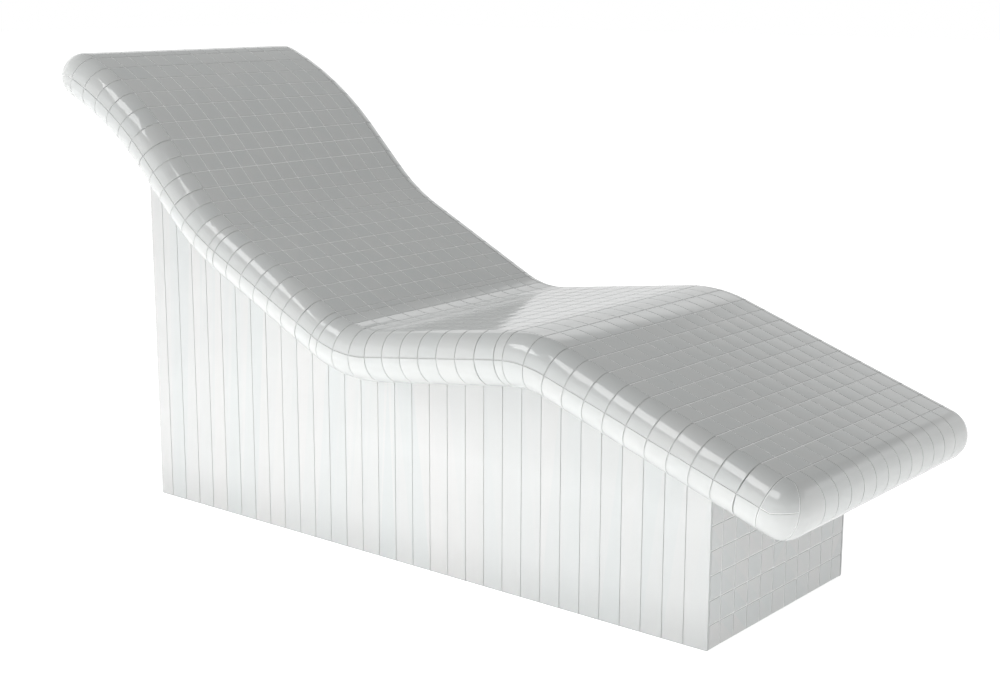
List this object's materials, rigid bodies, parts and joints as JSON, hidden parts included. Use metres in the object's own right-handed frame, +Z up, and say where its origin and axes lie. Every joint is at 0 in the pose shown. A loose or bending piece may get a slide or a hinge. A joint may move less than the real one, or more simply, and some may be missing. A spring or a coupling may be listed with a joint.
{
  "type": "spa relaxation lounger",
  "caption": "Tiled spa lounger with a thick S-shaped reclining shell, round rims and a box base that stands on the floor.",
  "frame": {"origin": "centre of the bounding box in plan, on the floor under the base", "axes": "+X runs from the head end to the foot end, +Y from the near side to the far side, +Z up"},
  "size_m": [1.8842, 0.7018, 0.9963],
  "materials": {
    "shell_foam": "closed-cell polystyrene foam, hot-wire cut",
    "base_board": "polystyrene foam board",
    "mortar_coat": "fibre-reinforced cement mortar, trowelled",
    "shell_grout": "fine white cement grout and adhesive",
    "base_grout": "fine white cement grout and adhesive",
    "shell_tile": "glossy white glaze with softened edges",
    "base_tile": "glossy white glaze, long strips and squares",
    "film": "carbon-coated polyester film",
    "busbar": "thin copper strip",
    "sleeve": "closed plastic tube",
    "sensor": "steel-capped probe",
    "gland": "moulded polyamide",
    "adhesive": "cement tile adhesive",
    "dowel": "beech dowel"
  },
  "bodies": {
    "root": {"foam_back": "shell_foam", "foam_seat": "shell_foam", "foam_legs": "shell_foam", "rim_foam_near": "shell_foam", "rim_foam_far": "shell_foam", "end_foam_head": "shell_foam", "end_foam_foot": "shell_foam", "coat_top": "mortar_coat", "coat_underside": "mortar_coat", "rim_coat_near": "mortar_coat", "rim_coat_far": "mortar_coat", "end_coat_head": "mortar_coat", "end_coat_foot": "mortar_coat", "bed_upper_back": "shell_grout", "bed_lower_back": "shell_grout", "bed_seat": "shell_grout", "bed_leg_rest": "shell_grout", "bed_underside": "shell_grout", "rim_bed_near": "shell_grout", "rim_bed_far": "shell_grout", "end_bed_head": "shell_grout", "end_bed_foot": "shell_grout", "tiles_upper_back": "shell_tile", "tiles_lower_back": "shell_tile", "tiles_seat": "shell_tile", "tiles_leg_rest": "shell_tile", "cut_tiles": "shell_tile", "rim_tiles_near_upper": "shell_tile", "rim_tiles_near_lower": "shell_tile", "rim_tiles_far_upper": "shell_tile", "rim_tiles_far_lower": "shell_tile", "end_tiles_head": "shell_tile", "end_tiles_foot": "shell_tile", "corner_tiles": "shell_tile", "tiles_underside": "shell_tile", "heating_film": "film", "busbars": "busbar", "sensor_sleeve": "sleeve", "temperature_sensor": "sensor", "cable_gland": "gland", "gland_nut": "gland", "side_board_near": "base_board", "side_board_far": "base_board", "head_board": "base_board", "foot_board": "base_board", "cross_ribs": "base_board", "bonding_bead": "adhesive", "dowels": "dowel", "base_bed_near": "base_grout", "base_bed_far": "base_grout", "base_bed_head": "base_grout", "base_bed_foot": "base_grout", "base_tiles_near": "base_tile", "base_tiles_far": "base_tile", "base_tiles_head": "base_tile", "base_tiles_foot": "base_tile"}
  },
  "joints": []
}
